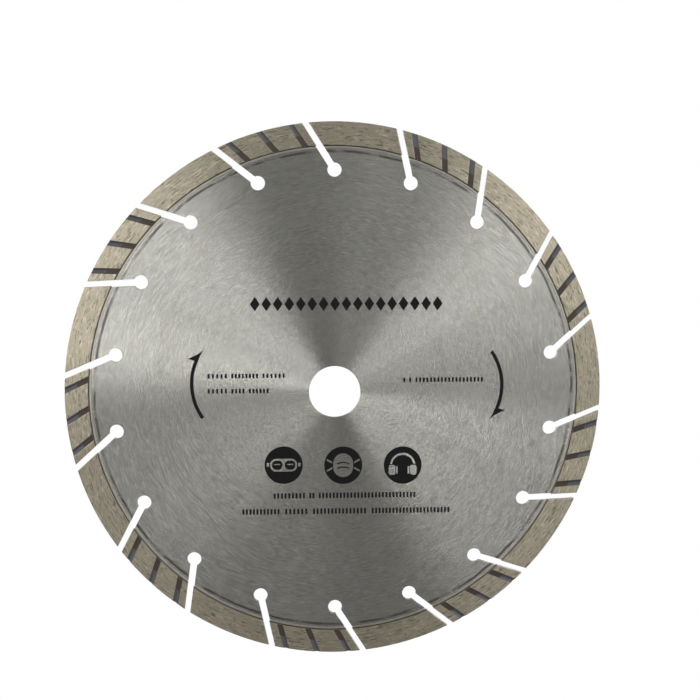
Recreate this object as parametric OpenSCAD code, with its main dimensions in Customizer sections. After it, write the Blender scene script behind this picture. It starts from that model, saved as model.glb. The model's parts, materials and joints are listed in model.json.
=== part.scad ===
/* [Blade] */
// Outer diameter over the diamond segments
blade_d = 230; // [190:1:300]
// Diameter of the arbor bore
bore_d = 22.23; // [15:0.01:30]
// Number of diamond segments round the rim
segment_count = 18; // [14:1:19]

/* [Steel core] */
// Thickness of the steel core
core_t = 1.8; // [1.2:0.1:3]
// Break of the arbor bore's two sharp edges
bore_chamfer = 0.15; // [0.1:0.05:0.4]

/* [Expansion slots] */
// Diameter of the round hole that ends each slot
keyhole_d = 6; // [4:0.1:7.5]
// Distance from the core's rim in to the centre of the round holes
keyhole_inset = 9; // [6:0.1:12]
// Width of the slots where they cross the core
slot_w = 2.9; // [2.3:0.1:3.6]
// Lean of the slots, off the radius at the round hole, counter-clockwise seen from the front
slot_lean = 32.5; // [0:0.5:40]

/* [Diamond segments] */
// Height of a segment from its foot to its cutting edge
segment_h = 10; // [7:0.1:14]
// Thickness of a segment
segment_t = 2.6; // [2:0.1:4]
// Gap between one segment and the next
rim_gap = 2.5; // [2:0.1:3.6]
// Height of the diamond-free foot that each segment is welded on by
foot_h = 1.2; // [0.8:0.1:2.5]
// How far a foot stands proud of the core on each side
foot_proud = 0.1; // [0:0.05:0.15]

/* [Swarf grooves] */
// Grooves in the grooved side of a segment
groove_count = 3; // [1:1:3]
// Width of a groove
groove_w = 2.3; // [1.5:0.1:2.8]
// Angle round the blade from one groove to the next
groove_pitch = 6.8; // [5:0.1:7]
// Lean of the grooves, off the radius at the groove's inner end
groove_lean = 28; // [0:0.5:35]
// Depth of a groove at its inner end
groove_inner_depth = 0.35; // [0.2:0.05:0.6]
// Depth of a groove where it runs out through the cutting edge
groove_outer_depth = 0.6; // [0.3:0.05:0.8]
// Height above the foot at which the deeper outer half of a groove starts
groove_step_h = 4.6; // [3:0.1:6]

/* [Hidden] */
$fn = 180;
// The pitch of the segments, and the angle of the first slot: at the top of the blade.
pitch_angle = 360 / segment_count;
first_slot_angle = 90;
// Radii of the rings, from the cutting edge in.
rim_r = blade_d / 2;
root_r = rim_r - segment_h;
core_r = root_r - foot_h;
keyhole_r = core_r - keyhole_inset;
groove_step_r = root_r + groove_step_h;
foot_t = core_t + 2 * foot_proud;
// Each segment is flush with the slot at its counter-clockwise end and overhangs it at the other.
gap_shift = (rim_gap - slot_w) / 2;
// A slot is cut from the round hole's centre to well past the cutting edge.
slot_run = 2 * (rim_r - keyhole_r);
// How far a cut runs past the face that it goes through.
past = 1;
// Angle round the blade from a round hole to where its slot crosses the segments' root.
root_swing = slot_lean - asin(keyhole_r * sin(slot_lean) / root_r);

function two_digits(number) = str(number < 10 ? "0" : "", number);
function segment_name(number) = str("diamond_segment_", two_digits(number));
function foot_name(number) = str("weld_foot_", two_digits(number));
function slot_angle(number) = first_slot_angle + (number - 1) * pitch_angle;

// Turns a shape drawn flat, front side up, to the blade's place: upright, front side towards -Y.
module upright() {
    rotate([90, 0, 0]) children();
}

// The straight part of one slot: a strip from the round hole's centre outwards.
module slot_strip(angle, width, shift) {
    rotate(angle)
        translate([keyhole_r, 0])
        rotate(slot_lean)
        translate([0, shift - width / 2])
        square([slot_run, width]);
}

// The part of a ring between two slots, counter-clockwise from the numbered one.
module ring_piece(number, inner_r, outer_r, width, shift) {
    intersection() {
        difference() {
            circle(outer_r);
            circle(inner_r);
            slot_strip(slot_angle(number), width, shift);
            slot_strip(slot_angle(number + 1), width, shift);
        }
        between_slots(number);
    }
}

// A wedge with one side along the middle of each of two neighbouring slots.
module between_slots(number) {
    polygon([
        slot_point(number, 0),
        slot_point(number, slot_run),
        slot_point(number + 1, slot_run),
        slot_point(number + 1, 0)
    ]);
}

// A point on a slot's middle line, the given distance out from the round hole's centre.
function slot_point(number, run) =
    let (hole_angle = slot_angle(number), run_angle = hole_angle + slot_lean)
    [
        keyhole_r * cos(hole_angle) + run * cos(run_angle),
        keyhole_r * sin(hole_angle) + run * sin(run_angle)
    ];

// The tensioned steel disc, with its arbor bore and the slots that end in round holes.
module core() {
    color("silver")
        upright()
        difference() {
            cylinder(r = core_r, h = core_t, center = true);
            cylinder(d = bore_d, h = core_t + 2 * past, center = true);
            bore_edge_break();
            mirror([0, 0, 1]) bore_edge_break();
            for (number = [1 : segment_count]) {
                rotate(slot_angle(number))
                    translate([keyhole_r, 0, 0])
                    cylinder(d = keyhole_d, h = core_t + 2 * past, center = true, $fn = 48);
                linear_extrude(height = core_t + 2 * past, center = true)
                    slot_strip(slot_angle(number), slot_w, 0);
            }
        }
}

// The cone that breaks the bore's edge on the front face.
module bore_edge_break() {
    translate([0, 0, core_t / 2 - bore_chamfer])
        cylinder(r1 = bore_d / 2, r2 = bore_d / 2 + bore_chamfer + past, h = bore_chamfer + past);
}

// The diamond-free foot between one segment and the core.
module weld_foot(number) {
    color("gainsboro")
        upright()
        linear_extrude(height = foot_t, center = true)
        ring_piece(number, core_r, root_r, slot_w, 0);
}

// One sintered segment. Odd ones are grooved on the front, even ones on the back.
module diamond_segment(number) {
    grooved_side = number % 2 == 1 ? 1 : -1;
    color("tan")
        upright()
        difference() {
            linear_extrude(height = segment_t, center = true)
                ring_piece(number, root_r, rim_r, rim_gap, gap_shift);
            for (place = [0 : groove_count - 1])
                scale([1, 1, grooved_side]) groove(number, place);
        }
}

// One groove in the front of a segment: shallow at the root, deeper in its outer half.
module groove(number, place) {
    middle_angle = slot_angle(number) + root_swing + pitch_angle / 2;
    root_angle = middle_angle + (place - (groove_count - 1) / 2) * groove_pitch;
    step_run = groove_step_h / cos(groove_lean);
    rotate(root_angle)
        translate([root_r, 0, 0])
        rotate(groove_lean) {
            translate([-groove_w, -groove_w / 2, segment_t / 2 - groove_inner_depth])
                cube([slot_run, groove_w, groove_inner_depth + past]);
            translate([step_run, -groove_w / 2, segment_t / 2 - groove_outer_depth])
                cube([slot_run, groove_w, groove_outer_depth + past]);
        }
}

core();
for (number = [1 : segment_count])
    weld_foot(number);
for (number = [1 : segment_count])
    diamond_segment(number);
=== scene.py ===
"""The looks of a segmented diamond blade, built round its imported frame.

The blade stands upright with its printed face towards -Y and its bore on the origin. Every piece
is worked out from the frame's own boxes and from the blade's plan: where its slots, feet, segments
and grooves lie. Angles run counter-clockwise as the front face is seen, from +X towards +Z.
"""

import json
import logging
import math
import random
from collections.abc import Callable, Sequence
from dataclasses import dataclass
from enum import Enum
from typing import Any

import bmesh
import bpy
from mathutils import Matrix, Vector, noise

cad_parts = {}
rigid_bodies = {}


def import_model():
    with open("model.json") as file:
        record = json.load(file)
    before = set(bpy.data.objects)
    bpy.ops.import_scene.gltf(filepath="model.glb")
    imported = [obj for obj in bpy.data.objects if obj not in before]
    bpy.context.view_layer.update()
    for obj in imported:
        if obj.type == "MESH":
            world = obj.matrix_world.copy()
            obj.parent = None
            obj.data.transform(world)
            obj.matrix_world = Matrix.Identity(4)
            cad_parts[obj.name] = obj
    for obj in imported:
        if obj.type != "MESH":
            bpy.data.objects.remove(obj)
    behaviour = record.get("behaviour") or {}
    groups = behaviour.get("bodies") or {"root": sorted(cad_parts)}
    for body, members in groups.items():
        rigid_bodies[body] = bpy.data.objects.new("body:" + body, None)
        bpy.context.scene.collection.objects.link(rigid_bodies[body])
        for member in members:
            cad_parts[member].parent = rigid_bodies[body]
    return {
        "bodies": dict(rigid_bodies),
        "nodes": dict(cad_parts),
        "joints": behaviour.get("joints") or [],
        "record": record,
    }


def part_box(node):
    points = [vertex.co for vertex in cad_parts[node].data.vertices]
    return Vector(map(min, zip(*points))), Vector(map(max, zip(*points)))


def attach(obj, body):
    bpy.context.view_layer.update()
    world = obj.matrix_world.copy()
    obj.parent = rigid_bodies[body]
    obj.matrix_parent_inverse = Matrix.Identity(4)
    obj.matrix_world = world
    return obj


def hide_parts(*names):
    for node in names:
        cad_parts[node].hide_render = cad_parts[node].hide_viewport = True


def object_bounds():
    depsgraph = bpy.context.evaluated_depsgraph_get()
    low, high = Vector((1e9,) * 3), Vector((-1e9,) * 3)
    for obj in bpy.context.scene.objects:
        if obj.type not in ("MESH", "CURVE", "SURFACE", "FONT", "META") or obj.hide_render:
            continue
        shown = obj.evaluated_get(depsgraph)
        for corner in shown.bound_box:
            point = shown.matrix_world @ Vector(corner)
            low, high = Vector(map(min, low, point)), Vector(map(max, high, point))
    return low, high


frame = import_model()
CAD_BOX = [list(corner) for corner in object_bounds()]

MM = 0.001
Colour = tuple[float, float, float, float]
Place = tuple[float, float]
Outline = list[Place]
LOG = logging.getLogger("diamond_blade")


class Side(Enum):
    """The two faces of the blade, by the sign of their Y."""

    FRONT = -1
    BACK = 1


# The plan: where everything lies


def polar(radius: float, angle: float, depth: float = 0.0) -> Vector:
    """Gives a point of the blade.

    Args:
        radius: Distance from the bore's axis.
        angle: Angle round the blade, in radians.
        depth: The point's Y.

    Returns:
        The point in the row frame.
    """
    return Vector((radius * math.cos(angle), depth, radius * math.sin(angle)))


@dataclass(frozen=True)
class LeaningLine:
    """A straight line that leaves a starting point of the blade and leans off the radius there."""

    start_radius: float
    start_angle: float
    lean: float

    def angle_at(self, radius: float, aside: float = 0.0) -> float:
        """Gives the angle at which the line crosses a radius.

        Args:
            radius: The radius that is crossed.
            aside: How far the line is moved sideways, counter-clockwise.

        Returns:
            The angle round the blade, in radians.
        """
        across = aside - self.start_radius * math.sin(self.lean)
        return self.start_angle + self.lean + math.atan2(across, math.sqrt(radius**2 - across**2))


@dataclass(frozen=True)
class BladePlan:
    """The blade's sizes, in metres and radians, most of them read off the frame."""

    rim_radius: float
    root_radius: float
    core_radius: float
    bore_radius: float
    core_half: float
    foot_half: float
    segment_half: float
    count: int
    keyhole_radius: float = 3.0 * MM
    keyhole_inset: float = 9.0 * MM
    slot_width: float = 2.9 * MM
    slot_lean: float = math.radians(32.5)
    rim_gap: float = 2.5 * MM
    first_slot_angle: float = math.radians(90.0)
    groove_count: int = 3
    groove_width: float = 2.3 * MM
    groove_pitch: float = math.radians(6.8)
    groove_lean: float = math.radians(28.0)
    groove_inner_depth: float = 0.35 * MM
    groove_outer_depth: float = 0.6 * MM
    groove_step_height: float = 4.6 * MM

    @classmethod
    def from_frame(cls, loaded: dict[str, Any]) -> "BladePlan":
        """Reads the plan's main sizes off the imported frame.

        Args:
            loaded: What the frame's loader returned.

        Returns:
            The plan of this blade.
        """
        feet = [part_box(name) for name in loaded["nodes"] if name.startswith("weld_foot")]
        segments = [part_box(name) for name in loaded["nodes"] if name.startswith("diamond_segment")]
        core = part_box("core")
        bore = next(m for m in loaded["record"]["mounts"] if m["name"] == "arbor_bore")
        return cls(
            rim_radius=max(high[0] for _, high in segments),
            root_radius=max(high[0] for _, high in feet),
            core_radius=core[1][0],
            bore_radius=bore["dims"]["r_mm"] * MM,
            core_half=core[1][1],
            foot_half=max(high[1] for _, high in feet),
            segment_half=max(high[1] for _, high in segments),
            count=len(segments),
        )

    @property
    def pitch(self) -> float:
        """The angle from one slot to the next."""
        return math.tau / self.count

    @property
    def hole_ring(self) -> float:
        """The radius of the ring that the round holes lie on."""
        return self.core_radius - self.keyhole_inset

    def slot_line(self, number: int) -> LeaningLine:
        """Gives the middle line of a slot.

        Args:
            number: The slot's number, from 1, counter-clockwise from the top.

        Returns:
            The slot's line, from the middle of its round hole.
        """
        angle = self.first_slot_angle + (number - 1) * self.pitch
        return LeaningLine(self.hole_ring, angle, self.slot_lean)

    def groove_line(self, number: int, place: int) -> LeaningLine:
        """Gives the middle line of a groove.

        Args:
            number: The segment's number.
            place: The groove's place in the segment, from 0.

        Returns:
            The groove's line, from its inner end.
        """
        middle = self.slot_line(number).angle_at(self.root_radius) + self.pitch / 2
        angle = middle + (place - (self.groove_count - 1) / 2) * self.groove_pitch
        return LeaningLine(self.root_radius, angle, self.groove_lean)


# Shader maths


def grey(level: float) -> Colour:
    """Gives an opaque neutral colour."""
    return (level, level, level, 1.0)


class Signal:
    """A shader socket that takes part in Python arithmetic, one Math node for each operation."""

    def __init__(self, sheet: "ShaderSheet", socket: bpy.types.NodeSocket) -> None:
        """Wraps a socket.

        Args:
            sheet: The material's node sheet.
            socket: The output socket that carries the value.
        """
        self.sheet = sheet
        self.socket = socket

    def _math(self, operation: str, *values: "Signal | float") -> "Signal":
        """Adds one Math node.

        Args:
            operation: The node's operation.
            values: Its inputs, in order.

        Returns:
            The node's result.
        """
        inputs = dict(enumerate(values))
        return self.sheet.node("ShaderNodeMath", {"operation": operation}, inputs).out(0)

    def __add__(self, other: "Signal | float") -> "Signal":
        """Adds."""
        return self._math("ADD", self, other)

    __radd__ = __add__

    def __mul__(self, other: "Signal | float") -> "Signal":
        """Multiplies."""
        return self._math("MULTIPLY", self, other)

    __rmul__ = __mul__

    def __sub__(self, other: "Signal | float") -> "Signal":
        """Subtracts."""
        return self._math("SUBTRACT", self, other)

    def __rsub__(self, other: float) -> "Signal":
        """Subtracts from a number."""
        return self._math("SUBTRACT", other, self)

    def smooth(self, low: float, high: float) -> "Signal":
        """Maps low..high smoothly to 0..1, and clamps what is outside.

        Args:
            low: The value that gives 0.
            high: The value that gives 1. It may be less than low.

        Returns:
            The mapped value.
        """
        rising = low < high
        inputs = {"Value": self, "From Min": min(low, high), "From Max": max(low, high)}
        settings = {"interpolation_type": "SMOOTHSTEP"}
        mapped = self.sheet.node("ShaderNodeMapRange", settings, inputs).out("Result")
        return mapped if rising else 1.0 - mapped


class PlacedNode:
    """A node that is in a sheet, with short access to its outputs."""

    def __init__(self, sheet: "ShaderSheet", made: bpy.types.Node) -> None:
        """Holds a made node.

        Args:
            sheet: The sheet that it is in.
            made: The node.
        """
        self.sheet = sheet
        self.made = made

    def out(self, name: str | int) -> Signal:
        """Gives one of the node's outputs by name or place."""
        return Signal(self.sheet, self.made.outputs[name])


class ShaderSheet:
    """The node tree of one material or world."""

    def __init__(self, owner: bpy.types.Material | bpy.types.World) -> None:
        """Clears the owner's node tree and takes it over.

        Args:
            owner: The material or world whose tree this is.
        """
        owner.use_nodes = True
        self.tree = owner.node_tree
        self.tree.nodes.clear()

    def node(
        self,
        kind: str,
        settings: dict[str, Any] | None = None,
        inputs: dict[str | int, Any] | None = None,
    ) -> PlacedNode:
        """Adds any node.

        Args:
            kind: The node's type name.
            settings: Its own settings, set first. "stops" sets a ramp's stops.
            inputs: Values or signals for its sockets, by name or place.

        Returns:
            The placed node.
        """
        made = self.tree.nodes.new(kind)
        for name, value in (settings or {}).items():
            if name == "stops":
                self._set_stops(made, value)
            else:
                setattr(made, name, value)
        for name, value in (inputs or {}).items():
            if isinstance(value, Signal):
                self.tree.links.new(value.socket, made.inputs[name])
            else:
                made.inputs[name].default_value = value
        return PlacedNode(self, made)

    @staticmethod
    def _set_stops(made: bpy.types.Node, stops: Sequence[tuple[float, Sequence[float]]]) -> None:
        """Sets a Color Ramp's stops.

        Args:
            made: The ramp node.
            stops: Each stop's place and its RGBA colour, in order.
        """
        elements = made.color_ramp.elements
        while len(elements) < len(stops):
            elements.new(1.0)
        for element, (place, colour) in zip(elements, stops):
            element.position = place
            element.color = colour

    def ramp(self, factor: Signal, stops: Sequence[tuple[float, Sequence[float]]]) -> Signal:
        """Colours a value with a ramp."""
        return self.node("ShaderNodeValToRGB", {"stops": stops}, {0: factor}).out("Color")

    def mix(self, factor: Signal | float, first: Any, second: Any) -> Signal:
        """Mixes two colours.

        Args:
            factor: How much of the second colour there is.
            first: The first colour, or a signal that carries it.
            second: The second colour, or a signal that carries it.

        Returns:
            The mixed colour.
        """
        inputs = {"Factor": factor, 6: first, 7: second}
        return self.node("ShaderNodeMix", {"data_type": "RGBA"}, inputs).out(2)

    def noise(self, vector: Signal, scale: float, detail: float, roughness: float = 0.5) -> Signal:
        """Gives a fractal noise from 0 to 1 along a vector.

        Args:
            vector: The texture coordinates.
            scale: How many bumps there are in a unit of them.
            detail: How many finer layers are added.
            roughness: How strong the finer layers are.

        Returns:
            The noise.
        """
        inputs = {"Vector": vector, "Scale": scale, "Detail": detail, "Roughness": roughness}
        return self.node("ShaderNodeTexNoise", {}, inputs).out(0)

    def white_when_seen(self, kind: str, lit: Signal) -> Signal:
        """Gives a shader that looks plain white to the camera, and is another one to all else.

        Args:
            kind: The type name of the white shader's node.
            lit: The other shader.

        Returns:
            The mixed shader.
        """
        seen = self.node("ShaderNodeLightPath").out("Is Camera Ray")
        white = self.node(kind, {}, {"Color": grey(1.0), "Strength": 1.0}).out(0)
        return self.node("ShaderNodeMixShader", {}, {0: seen, 1: lit, 2: white}).out(0)

    def attribute(self, name: str) -> Signal:
        """Reads a number that the mesh carries."""
        return self.node("ShaderNodeAttribute", {"attribute_name": name}).out("Fac")


class DiscSheet(ShaderSheet):
    """A material's node sheet that knows the disc's own directions: along its scratches and off them."""

    HAIRS_PER_TURN = 1500.0
    HAIRS_PER_METRE = 60000.0

    def __init__(self, name: str) -> None:
        """Makes a new material and its sheet.

        Args:
            name: The material's name.
        """
        self.material = bpy.data.materials.new(name)
        super().__init__(self.material)
        self.place = self.node("ShaderNodeTexCoord").out("Object")
        parts = self.node("ShaderNodeSeparateXYZ", {}, {0: self.place})
        self.y = parts.out("Y")
        inputs = {"X": parts.out("X"), "Y": 0.0, "Z": parts.out("Z")}
        flat = self.node("ShaderNodeCombineXYZ", {}, inputs).out(0)
        self.outward = self.vector("NORMALIZE", flat)
        self.radius = self.vector("LENGTH", flat, output="Value")

    def vector(self, operation: str, *values: Any, output: str = "Vector") -> Signal:
        """Adds one Vector Math node and gives its result."""
        inputs = dict(enumerate(values))
        return self.node("ShaderNodeVectorMath", {"operation": operation}, inputs).out(output)

    def round_vector(self, per_turn: float, per_metre: float, drift: float = 0.0) -> Signal:
        """Gives texture coordinates that follow circles round the bore.

        Args:
            per_turn: How fast the coordinates change along a circle.
            per_metre: How fast they change from one circle to the next.
            drift: A shift that makes one pattern differ from another.

        Returns:
            The coordinates, with no seam anywhere round the blade.
        """
        parts = self.node("ShaderNodeSeparateXYZ", {}, {0: self.outward})
        inputs = {
            "X": parts.out("X") * per_turn + drift,
            "Y": parts.out("Z") * per_turn,
            "Z": self.radius * per_metre + self.y * per_metre,
        }
        return self.node("ShaderNodeCombineXYZ", {}, inputs).out(0)

    def round_noise(
        self, per_turn: float, per_metre: float, detail: float, roughness: float = 0.5, drift: float = 0.0
    ) -> Signal:
        """Gives a fractal noise from 0 to 1 that is drawn out along circles round the bore.

        Args:
            per_turn: How fast it changes along a circle.
            per_metre: How fast it changes from one circle to the next.
            detail: How many finer layers are added.
            roughness: How strong the finer layers are.
            drift: A shift that makes one pattern differ from another.

        Returns:
            The noise.
        """
        return self.noise(self.round_vector(per_turn, per_metre, drift), 1.0, detail, roughness)

    def scratches(self) -> Signal:
        """Gives the finest scratches: hairs along the turn, far finer than the eye sees one by one."""
        return self.round_noise(self.HAIRS_PER_TURN, self.HAIRS_PER_METRE, 1.0)

    def tilted(self, tilt: Signal) -> Signal:
        """Gives the surface's normal, tilted towards the rim or the bore as a scratch's flanks are.

        Args:
            tilt: The tilt's slope, positive towards the rim.

        Returns:
            The tilted normal.
        """
        settings = {"vector_type": "NORMAL", "convert_from": "OBJECT", "convert_to": "WORLD"}
        turned = self.node("ShaderNodeVectorTransform", settings, {0: self.outward}).out(0)
        scaled = self.node("ShaderNodeVectorMath", {"operation": "SCALE"}, {0: turned, "Scale": tilt})
        flat = self.node("ShaderNodeNewGeometry").out("Normal")
        return self.vector("NORMALIZE", self.vector("ADD", flat, scaled.out("Vector")))

    def bump(self, distance: float, height: Signal, normal: Signal | None = None) -> Signal:
        """Gives the normal of a surface that rises and falls.

        Args:
            distance: How far it rises at a height of 1, in metres.
            height: The height.
            normal: The normal that it starts from, or nothing for the mesh's own.

        Returns:
            The bumped normal.
        """
        inputs = {"Strength": 1.0, "Distance": distance, "Height": height}
        if normal is not None:
            inputs["Normal"] = normal
        return self.node("ShaderNodeBump", {}, inputs).out("Normal")

    def finish(self, surface: dict[str, Any]) -> bpy.types.Material:
        """Puts the Principled shader in place.

        Args:
            surface: Values and signals for its sockets.

        Returns:
            The finished material.
        """
        shader = self.node("ShaderNodeBsdfPrincipled", {"distribution": "GGX"}, surface)
        self.node("ShaderNodeOutputMaterial", {}, {"Surface": shader.out("BSDF")})
        return self.material


# Finishes


@dataclass(frozen=True)
class BrushedSteel:
    """Sheet steel ground in circles round the bore, with a broken dark band a little way in from its rim.
    """

    plan: BladePlan
    steel: Colour = (0.555, 0.55, 0.51, 1.0)
    stained: Colour = (0.455, 0.445, 0.395, 1.0)
    warm: Colour = (0.68, 0.655, 0.57, 1.0)
    cool: Colour = (0.485, 0.50, 0.505, 1.0)
    rim_band: Colour = (0.14, 0.13, 0.115, 1.0)
    roughness: float = 0.215
    flank: float = 3.0
    streak_flank: float = 0.2

    def build(self) -> bpy.types.Material:
        """Builds the material.

        Returns:
            The finished material.
        """
        sheet = DiscSheet("core_brushed_steel")
        streaks = sheet.round_noise(21.0, 2300.0, 3.0, 0.6)
        clouds = sheet.noise(sheet.place, 38.0, 4.0, 0.6)
        stain = clouds.smooth(0.42, 0.72) * 0.4 + streaks.smooth(0.48, 0.6) * 0.8
        colour = sheet.mix(stain, self.steel, self.stained)
        threads = sheet.round_noise(22.0, 2300.0, 2.0, drift=5.0)
        colour = sheet.mix(threads.smooth(0.54, 0.64) * 0.6, colour, self.warm)
        colour = sheet.mix(threads.smooth(0.45, 0.34) * 0.45, colour, self.cool)
        # A broken dark band a little way in from the core's rim, also a little rougher.
        rim_band = self._rim_band(sheet)
        tilt = (sheet.scratches() - 0.5) * self.flank + (streaks - 0.5) * self.streak_flank
        return sheet.finish(
            {
                "Base Color": sheet.mix(rim_band, colour, self.rim_band),
                "Metallic": 1.0,
                "Roughness": self.roughness + (streaks - 0.5) * 0.1 + rim_band * 0.1,
                "Normal": sheet.tilted(tilt),
            }
        )

    def _rim_band(self, sheet: DiscSheet) -> Signal:
        """Gives how dark the broken band a little way in from the core's rim is.

        Args:
            sheet: The steel's node sheet.

        Returns:
            The darkness, from 0 to 1.
        """
        rim = self.plan.core_radius
        wander = (sheet.round_noise(6.0, 90.0, 3.0, drift=3.0) - 0.5) * (1.8 * MM)
        place = sheet.radius + wander
        band = place.smooth(rim - 2.2 * MM, rim - 1.5 * MM) * place.smooth(rim - 0.4 * MM, rim - 1.2 * MM)
        broken = sheet.round_noise(9.0, 60.0, 2.0, drift=11.0).smooth(0.36, 0.56)
        return band * (broken * 0.85 + 0.1)


@dataclass(frozen=True)
class WeldSteel:
    """The ground weld between core and segment: light steel, with painted shade along the crevice at its
    outer edge.
    """

    plan: BladePlan
    ground: Colour = (0.56, 0.525, 0.47, 1.0)
    worn: Colour = (0.40, 0.375, 0.335, 1.0)
    bright: Colour = (0.66, 0.63, 0.58, 1.0)
    crevice_shade: Colour = (0.05, 0.042, 0.028, 1.0)
    seam_width: float = 0.48 * MM
    relief: float = 0.03 * MM
    roughness: float = 0.36
    flank: float = 2.6

    def build(self) -> bpy.types.Material:
        """Builds the material.

        Returns:
            The finished material.
        """
        sheet = DiscSheet("weld_foot_ground_steel")
        root = self.plan.root_radius
        streaks = sheet.round_noise(30.0, 2200.0, 3.0, 0.6)
        blotches = sheet.noise(sheet.place, 420.0, 3.0, 0.6)
        wander = (blotches - 0.5) * (0.4 * MM)
        # Painted shade: a near-black line on the crevice at the foot's outer edge, where the segment's step
        # would shade it; it is also less metallic and rougher there.
        seam = (sheet.radius + wander).smooth(root - self.seam_width, root - 0.55 * self.seam_width)
        stops = [(0.3, self.worn), (0.52, self.ground), (0.8, self.bright)]
        colour = sheet.ramp(streaks * 0.6 + blotches * 0.4, stops)
        tilted = sheet.tilted((sheet.scratches() - 0.5) * self.flank)
        return sheet.finish(
            {
                "Base Color": sheet.mix(seam, colour, self.crevice_shade),
                "Metallic": 0.95 - seam * 0.75,
                "Roughness": self.roughness + seam * 0.35,
                "Normal": sheet.bump(self.relief, streaks + blotches, tilted),
            }
        )


@dataclass(frozen=True)
class SinteredMatrix:
    """Sintered metal full of grit, ground along the turn: mottled, dark in its grooves, with painted
    glints, and painted shade in its pores and along its inner edge.
    """

    plan: BladePlan
    tan: Colour = (0.55, 0.49, 0.375, 1.0)
    olive: Colour = (0.485, 0.455, 0.335, 1.0)
    rose: Colour = (0.575, 0.495, 0.40, 1.0)
    straw: Colour = (0.80, 0.74, 0.56, 1.0)
    dark: Colour = (0.20, 0.175, 0.13, 1.0)
    groove_inner: Colour = (0.068, 0.048, 0.038, 1.0)
    groove_outer: Colour = (0.108, 0.106, 0.113, 1.0)
    relief: float = 0.022 * MM
    roughness: float = 0.31
    flank: float = 3.0

    def build(self) -> bpy.types.Material:
        """Builds the material.

        Returns:
            The finished material.
        """
        sheet = DiscSheet("diamond_segment_matrix")
        streaks = sheet.round_noise(26.0, 1900.0, 2.0, 0.6)
        painted_glints = sheet.round_noise(30.0, 1700.0, 2.0, 0.55, 9.0)
        hue = sheet.round_noise(13.0, 600.0, 3.0, 0.55, 3.0)
        cast = sheet.round_noise(17.0, 800.0, 3.0, 0.6, 6.0)
        grit = sheet.noise(sheet.place, 2600.0, 3.0, 0.65)
        colour = sheet.mix(hue.smooth(0.54, 0.44), self.tan, self.olive)
        colour = sheet.mix(cast.smooth(0.5, 0.6) * 0.8, colour, self.rose)
        # Painted glints: straw-coloured flecks along the turn stand in for highlights off the grit.
        colour = sheet.mix(painted_glints.smooth(0.55, 0.68) * 0.75, colour, self.straw)
        shade = streaks.smooth(0.45, 0.32) * 0.85 + grit.smooth(0.42, 0.25) * 0.2
        colour = sheet.mix(shade, colour, self.dark)
        # Painted shade: the pores are darkened in colour, as shade would fall in them.
        colour = sheet.mix(sheet.attribute("pit") * 0.6, colour, self.dark)
        groove = sheet.attribute("groove")
        floor = sheet.mix(sheet.attribute("outer_floor"), self.groove_inner, self.groove_outer)
        floor = sheet.mix(grit.smooth(0.35, 0.7) * 0.4, floor, grey(0.05))
        colour = sheet.mix(groove, colour, floor)
        # Painted shade: the segment darkens towards its inner edge, where it steps down to the foot.
        step_shade = sheet.radius.smooth(self.plan.root_radius + 0.35 * MM, self.plan.root_radius)
        colour = sheet.mix(step_shade * 0.7, colour, self.dark)
        tilted = sheet.tilted((sheet.scratches() - 0.5) * self.flank * (1.0 - groove * 0.8))
        height = streaks * 0.8 + grit * 0.5 + hue * 0.4
        return sheet.finish(
            {
                "Base Color": colour,
                "Metallic": 0.9 - groove * 0.8,
                "Roughness": self.roughness + (grit - 0.5) * 0.2 + groove * 0.12,
                "Normal": sheet.bump(self.relief, height, tilted),
            }
        )


@dataclass(frozen=True)
class PrintInk:
    """Black screen-printing ink on ground steel, slightly thin in places."""

    ink: Colour = (0.006, 0.006, 0.0065, 1.0)
    thin: Colour = (0.022, 0.021, 0.02, 1.0)
    relief: float = 0.008 * MM

    def build(self) -> bpy.types.Material:
        """Builds the material.

        Returns:
            The finished material.
        """
        sheet = DiscSheet("print_ink_black")
        scratches = sheet.round_noise(11.0, 1900.0, 4.0, 0.62)
        grain = sheet.noise(sheet.place, 2400.0, 2.0)
        thin = scratches.smooth(0.55, 0.78) * 0.6 + grain.smooth(0.6, 0.8) * 0.3
        return sheet.finish(
            {
                "Base Color": sheet.mix(thin, self.ink, self.thin),
                "Roughness": 0.5 + thin * 0.2,
                "Specular IOR Level": 0.2,
                "Normal": sheet.bump(self.relief, scratches + grain * 0.5),
            }
        )


# Making and dressing meshes


@dataclass(frozen=True)
class Dress:
    """What a finished mesh needs to become a piece of the blade."""

    material: bpy.types.Material
    slot: str
    body: str

    def make_piece(
        self, name: str, mesh: bmesh.types.BMesh, stands_for: Sequence[str] = ()
    ) -> bpy.types.Object:
        """Turns a bmesh into a piece that rides on its body.

        Args:
            name: The piece's name.
            mesh: The finished bmesh, which is freed.
            stands_for: The CAD nodes that the piece replaces.

        Returns:
            The piece, with its place in its mesh.
        """
        data = bpy.data.meshes.new(name)
        mesh.to_mesh(data)
        mesh.free()
        return self.dress(name, data, stands_for)

    def dress(self, name: str, data: bpy.types.Mesh, stands_for: Sequence[str] = ()) -> bpy.types.Object:
        """Gives a mesh its object, material and body.

        Args:
            name: The piece's name.
            data: Its mesh.
            stands_for: The CAD nodes that the piece replaces.

        Returns:
            The piece.
        """
        data.materials.clear()
        data.materials.append(self.material)
        piece = bpy.data.objects.new(name, data)
        bpy.context.scene.collection.objects.link(piece)
        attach(piece, self.body)
        if stands_for:
            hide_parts(*stands_for)
        LOG.info("%s: %d vertices, %d faces", name, len(data.vertices), len(data.polygons))
        return piece


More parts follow.
